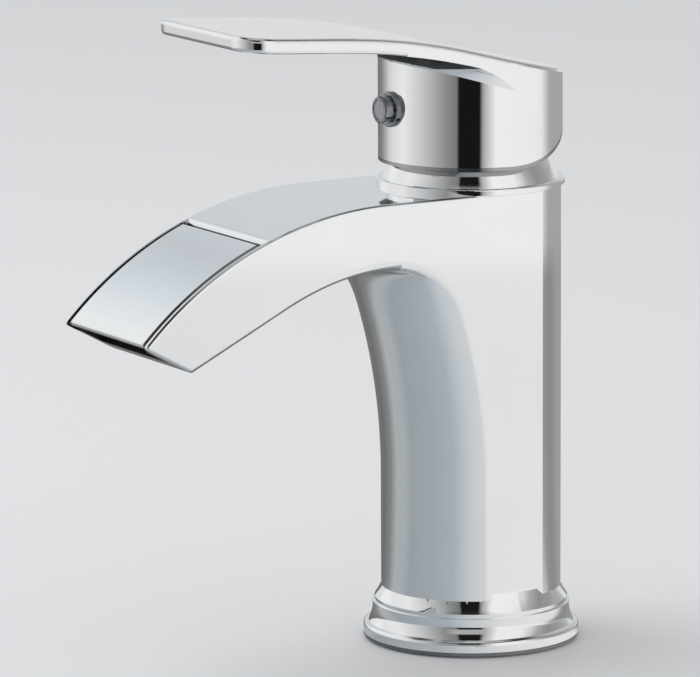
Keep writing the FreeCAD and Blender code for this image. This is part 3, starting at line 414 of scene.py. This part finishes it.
def bodyRawAndShadePlaces(tree, x, y, z):
    s = bodySettings
    across = calculated(tree, "ABSOLUTE", x)
    fromArc = fromSpoutArc(tree, y, z)
    ahead = isUnder(tree, y, s["channelFrom"])
    halfWidth, low, high = s["channel"]
    channel = allOf(tree, ahead, isUnder(tree, across, halfWidth), isOver(tree, fromArc, low),
                    isUnder(tree, fromArc, high))
    # the walls of the side groove: painted shade
    inner, outer = s["grooveAcross"]
    bottom, top = s["grooveRadii"]
    paintedGrooveShade = allOf(tree, isUnder(tree, y, s["grooveFrom"]), isOver(tree, across, inner),
                   isUnder(tree, across, outer), isUnder(tree, fromArc, top),
                   isOver(tree, fromArc, bottom))
    inside = allOf(tree, isUnder(tree, lengthOf(tree, x, y), s["inside"]),
                   isUnder(tree, z, s["insideTop"]))
    # the arch's lower edge: painted shade at half strength
    edgeWidth, radius, height, slope = s["archEdge"]
    centreY, centreZ = s["archCentre"]
    fromCentre = lengthOf(tree, calculated(tree, "SUBTRACT", y, centreY),
                          calculated(tree, "SUBTRACT", z, centreZ))
    limit = calculated(tree, "ADD", calculated(tree, "MULTIPLY", y, slope), height)
    low = anyOf(tree, isUnder(tree, fromCentre, radius),
                allOf(tree, isUnder(tree, y, s["archStraight"]), isUnder(tree, z, limit)))
    paintedEdgeShade = allOf(tree, low, isUnder(tree, y, centreY), isOver(tree, across, edgeWidth))
    return anyOf(tree, channel, paintedGrooveShade, inside, calculated(tree, "MULTIPLY", paintedEdgeShade, s["paintedShadeShare"]))


giveMaterial(partlyRawAndShaded("bodyChrome", bodySettings["chrome"], bodySettings["rawMetalAndPaintedShade"],
                       bodyRawAndShadePlaces), "body")

# front cover of the spout: dark underneath, and darker along its side and back edges, which is
# painted shade
coverSettings = {
    "chrome": {"light": (0.93, 0.95, 0.965), "dark": (0.91, 0.93, 0.95), "metal": 1.0,
               "rough": (0.025, 0.06), "drift": 0.02, "grain": 0.004, "bump": 0.03,
               "bumpDepth": 0.00002},
    "rawMetalAndPaintedShade": dict(castBrass, light=(0.10, 0.095, 0.09), dark=(0.05, 0.048, 0.045)),
    "skin": 0.0990,                   # radius of the spout's arc where the polish ends
    "rim": (0.0194, -0.0757),         # the cover's side and back edges, outside these
    "paintedShadeShare": 0.75,
}


def coverRawAndShadePlaces(tree, x, y, z):
    fromArc = fromSpoutArc(tree, y, z)
    # the side and back edges: painted shade
    side, back = coverSettings["rim"]
    paintedEdgeShade = anyOf(tree, isOver(tree, calculated(tree, "ABSOLUTE", x), side),
                 isOver(tree, y, back))
    return anyOf(tree, isUnder(tree, fromArc, coverSettings["skin"]),
                 calculated(tree, "MULTIPLY", paintedEdgeShade, coverSettings["paintedShadeShare"]))


giveMaterial(partlyRawAndShaded("coverChrome", coverSettings["chrome"], coverSettings["rawMetalAndPaintedShade"],
                       coverRawAndShadePlaces), "spout_cover")

# handle: chrome outside, dark inside. The crescent under the lever's root and the rim along
# the lower edge are darker too, and both are painted shade.
handleSettings = {
    "chrome": {"light": (0.945, 0.95, 0.955), "dark": (0.925, 0.93, 0.94), "metal": 1.0,
               "rough": (0.02, 0.055), "drift": 0.025, "grain": 0.004, "bump": 0.025,
               "bumpDepth": 0.00002},
    "rawMetalAndPaintedShade": dict(castBrass, light=(0.10, 0.105, 0.11), dark=(0.06, 0.063, 0.067)),
    "inside": 0.0223,
    "roof": (0.1562, -0.255),         # height over the axis, and its rise per metre of y
    "cap": 0.02445,                   # outside this radius is the lever's underside
    # the crescent of painted shade lies under both of these slopes and over the third
    "under": ((0.1553, -0.175), (0.1537, -0.255)),
    "over": (0.15736, 0.069),
    "underFrom": -0.0345,
    "skirt": (0.1302, -0.002, 0.037),  # top of the dark rim, where it rises and its radius
    "paintedShadeShare": 0.6,
}


def handleRawAndShadePlaces(tree, x, y, z):
    s = handleSettings
    fromAxis = lengthOf(tree, x, y)

    def isUnderSlope(slope):
        height, rise = slope
        limit = calculated(tree, "ADD", calculated(tree, "MULTIPLY", y, rise), height)
        return isUnder(tree, z, limit)

    cavity = allOf(tree, isUnder(tree, fromAxis, s["inside"]), isUnderSlope(s["roof"]))
    # the crescent under the lever's root: painted shade
    paintedCrescentShade = allOf(tree, isOver(tree, fromAxis, s["cap"]), isOver(tree, y, s["underFrom"]),
                      calculated(tree, "SUBTRACT", 1.0, isUnderSlope(s["over"])),
                      *(isUnderSlope(slope) for slope in s["under"]))
    # the rim along the skirt's lower edge: painted shade
    height, start, radius = s["skirt"]
    run = calculated(tree, "MAXIMUM", calculated(tree, "SUBTRACT", y, start), 0.0)
    left = calculated(tree, "SUBTRACT", radius ** 2, calculated(tree, "MULTIPLY", run, run))
    rim = calculated(tree, "SUBTRACT", height + radius, calculated(tree, "SQRT", left))
    paintedRimShade = calculated(tree, "MULTIPLY", isUnder(tree, z, rim), s["paintedShadeShare"])
    return anyOf(tree, cavity, paintedCrescentShade, paintedRimShade)


giveMaterial(partlyRawAndShaded("handleChrome", handleSettings["chrome"], handleSettings["rawMetalAndPaintedShade"],
                       handleRawAndShadePlaces), "handle")

# dome ring under the handle: chrome outside, plain inside
bonnetSettings = {
    "chrome": {"light": (0.94, 0.95, 0.955), "dark": (0.92, 0.93, 0.94), "metal": 1.0,
               "rough": (0.03, 0.07), "drift": 0.015, "grain": 0.003, "bump": 0.03,
               "bumpDepth": 0.00002},
    "rawMetalAndPaintedShade": castBrass,
    "centre": 0.118,
    "inside": 0.0232,
}


def bonnetRawPlaces(tree, x, y, z):
    s = bonnetSettings
    height = calculated(tree, "SUBTRACT", z, s["centre"])
    return isUnder(tree, lengthOf(tree, x, y, height), s["inside"])


giveMaterial(partlyRawAndShaded("bonnetChrome", bonnetSettings["chrome"], bonnetSettings["rawMetalAndPaintedShade"],
                       bonnetRawPlaces), "bonnet")

# foot ring: chrome, and dark along its lowest edge, which is painted shade
ringSettings = {
    "chrome": {"light": (0.94, 0.95, 0.955), "dark": (0.91, 0.92, 0.93), "metal": 1.0,
               "rough": (0.03, 0.07), "drift": 0.015, "grain": 0.003, "bump": 0.03,
               "bumpDepth": 0.00002},
    "rawMetalAndPaintedShade": dict(castBrass, light=(0.10, 0.105, 0.11), dark=(0.06, 0.063, 0.067)),
    "contact": 0.0015,
    "inside": 0.0235,
    "paintedShadeShare": 0.85,
}


def ringRawAndShadePlaces(tree, x, y, z):
    s = ringSettings
    # raw metal in the bore; the lowest edge outside is painted shade
    return anyOf(tree, isUnder(tree, lengthOf(tree, x, y), s["inside"]),
                 calculated(tree, "MULTIPLY", isUnder(tree, z, s["contact"]), s["paintedShadeShare"]))


giveMaterial(partlyRawAndShaded("ringChrome", ringSettings["chrome"], ringSettings["rawMetalAndPaintedShade"],
                       ringRawAndShadePlaces), "base_ring")

# one finish for each of the other pieces; the plug on the handle is darker than chrome: painted
# shade
rubber = {"light": (0.022, 0.022, 0.024), "dark": (0.012, 0.012, 0.013), "rough": (0.5, 0.75),
          "drift": 0.005, "grain": 0.0004, "bump": 0.35, "bumpDepth": 0.00008}
steel = {"light": (0.66, 0.66, 0.65), "dark": (0.54, 0.54, 0.54), "metal": 1.0,
         "rough": (0.22, 0.42), "drift": 0.006, "grain": 0.0005, "bump": 0.25,
         "bumpDepth": 0.00005}
whitePlastic = {"light": (0.82, 0.82, 0.79), "dark": (0.74, 0.74, 0.71), "rough": (0.3, 0.48),
                "drift": 0.006, "grain": 0.0006, "bump": 0.15, "bumpDepth": 0.00004,
                "underSkin": 0.1}
shellPlastic = {"light": (0.30, 0.34, 0.40), "dark": (0.24, 0.28, 0.33), "rough": (0.32, 0.5),
                "drift": 0.008, "grain": 0.0006, "bump": 0.2, "bumpDepth": 0.00005}
ceramicSettings = {"light": (0.86, 0.85, 0.81), "dark": (0.80, 0.79, 0.75),
                   "rough": (0.08, 0.18), "drift": 0.004, "grain": 0.0003, "bump": 0.05,
                   "bumpDepth": 0.00002}
brass = {"light": (0.74, 0.56, 0.28), "dark": (0.60, 0.44, 0.21), "metal": 1.0,
         "rough": (0.2, 0.4), "drift": 0.006, "grain": 0.0005, "bump": 0.25,
         "bumpDepth": 0.00005}
pieceFinishes = {
    "index_button": {"light": (0.34, 0.345, 0.36), "dark": (0.22, 0.225, 0.235), "metal": 1.0,
                     "rough": (0.12, 0.2), "drift": 0.004, "grain": 0.001, "bump": 0.03,
                     "bumpDepth": 0.00002},
    "index_disc": {"light": (0.50, 0.48, 0.52), "dark": (0.42, 0.40, 0.44),
                   "rough": (0.18, 0.3), "drift": 0.0015, "grain": 0.0003, "bump": 0.1,
                   "bumpDepth": 0.00003},
    "base_seal": rubber,
    "rubber_washer": dict(rubber, grain=0.0008, bump=0.5),
    "cover_gasket": dict(rubber, light=(0.03, 0.03, 0.032)),
    "inlet_seals": rubber,
    "side_seal": rubber,
    "disc_seals": dict(rubber, light=(0.05, 0.02, 0.018), dark=(0.035, 0.014, 0.012)),
    "bonnet_seal": rubber,
    "flow_spreader": whitePlastic,
    "disc_carrier": whitePlastic,
    "rotor": dict(whitePlastic, light=(0.78, 0.80, 0.80), dark=(0.70, 0.72, 0.72)),
    "cartridge_base": dict(shellPlastic, light=(0.80, 0.80, 0.78), dark=(0.72, 0.72, 0.70)),
    "cartridge_housing": shellPlastic,
    "fixed_disc": ceramicSettings,
    "moving_disc": dict(ceramicSettings, light=(0.80, 0.81, 0.82), dark=(0.74, 0.75, 0.77)),
    "mounting_stud": dict(brass, stretch=(1.0, 1.0, 9.0)),
    "cartridge_nut": brass,
    "spindle": dict(brass, stretch=(1.0, 1.0, 0.2)),
    "steel_washer": dict(steel, stretch=(0.3, 1.0, 1.0)),
    "fixing_nut": steel,
    "pivot_pin": dict(steel, stretch=(0.1, 1.0, 1.0)),
    "grub_screw": dict(steel, light=(0.12, 0.12, 0.125), dark=(0.08, 0.08, 0.085)),
}
for name, settings in pieceFinishes.items():
    giveMaterial(plainFinish(name + "Finish", settings), name)
print("stage 4: materials on", len(finished), "nodes")

bpy.context.scene.view_settings.view_transform = "Standard"
